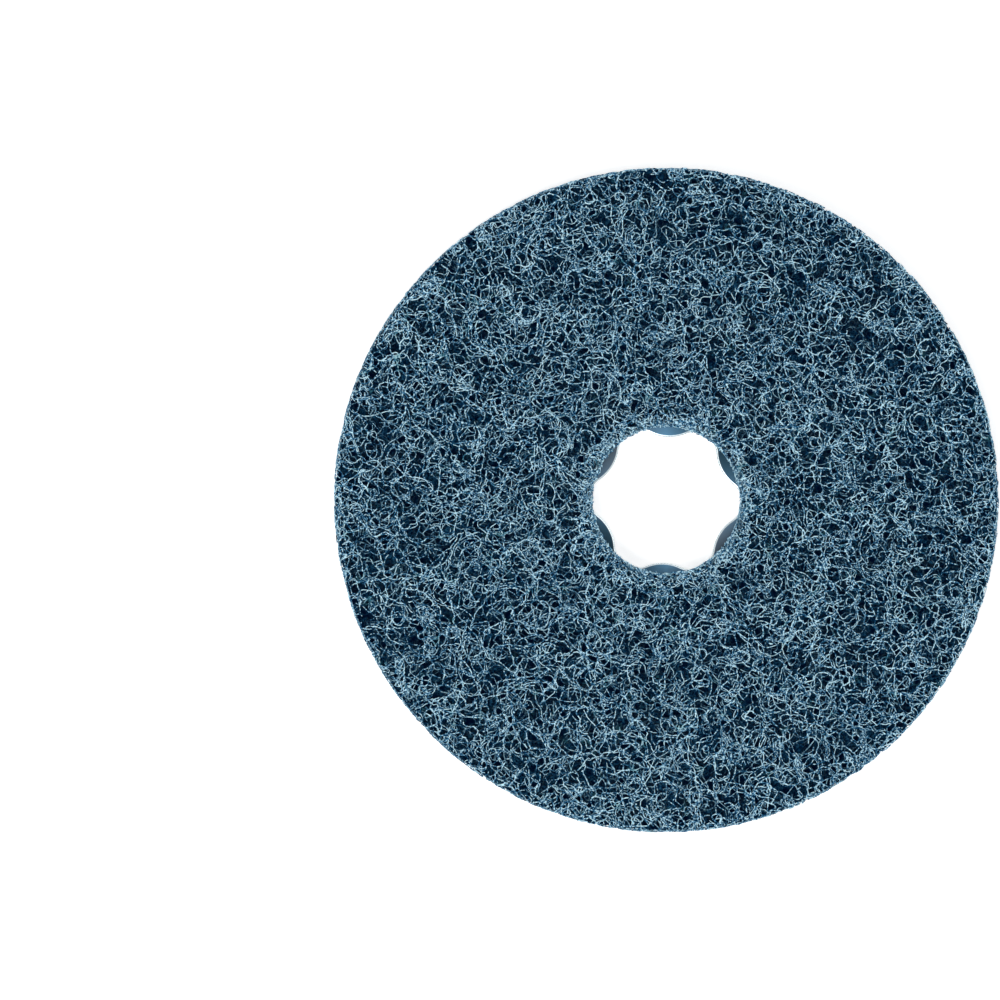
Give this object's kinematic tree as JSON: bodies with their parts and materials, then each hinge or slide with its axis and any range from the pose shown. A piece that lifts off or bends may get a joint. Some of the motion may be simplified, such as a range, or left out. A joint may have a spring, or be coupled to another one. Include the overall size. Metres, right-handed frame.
{
  "type": "surface conditioning disc",
  "caption": "Round disc of needled abrasive web with a stamped steel mounting ring on its felted back and a star-shaped opening through the middle.",
  "frame": {"origin": "on the disc's axis, at the height of the crest of the mounting ring's bead, on which the disc rests", "axes": "+Z along the disc's axis and out of the abrasive face, +X through a lobe of the star-shaped opening to within two degrees"},
  "size_m": [0.115, 0.115, 0.0079],
  "materials": {
    "fibre_web": "open web of curled steel-blue synthetic fibre with abrasive grain, dull",
    "ring_steel": "stamped zinc-plated steel sheet, satin, with bright rounded bends"
  },
  "bodies": {
    "root": {"abrasive_web": "fibre_web", "mounting_ring": "ring_steel"}
  },
  "joints": []
}
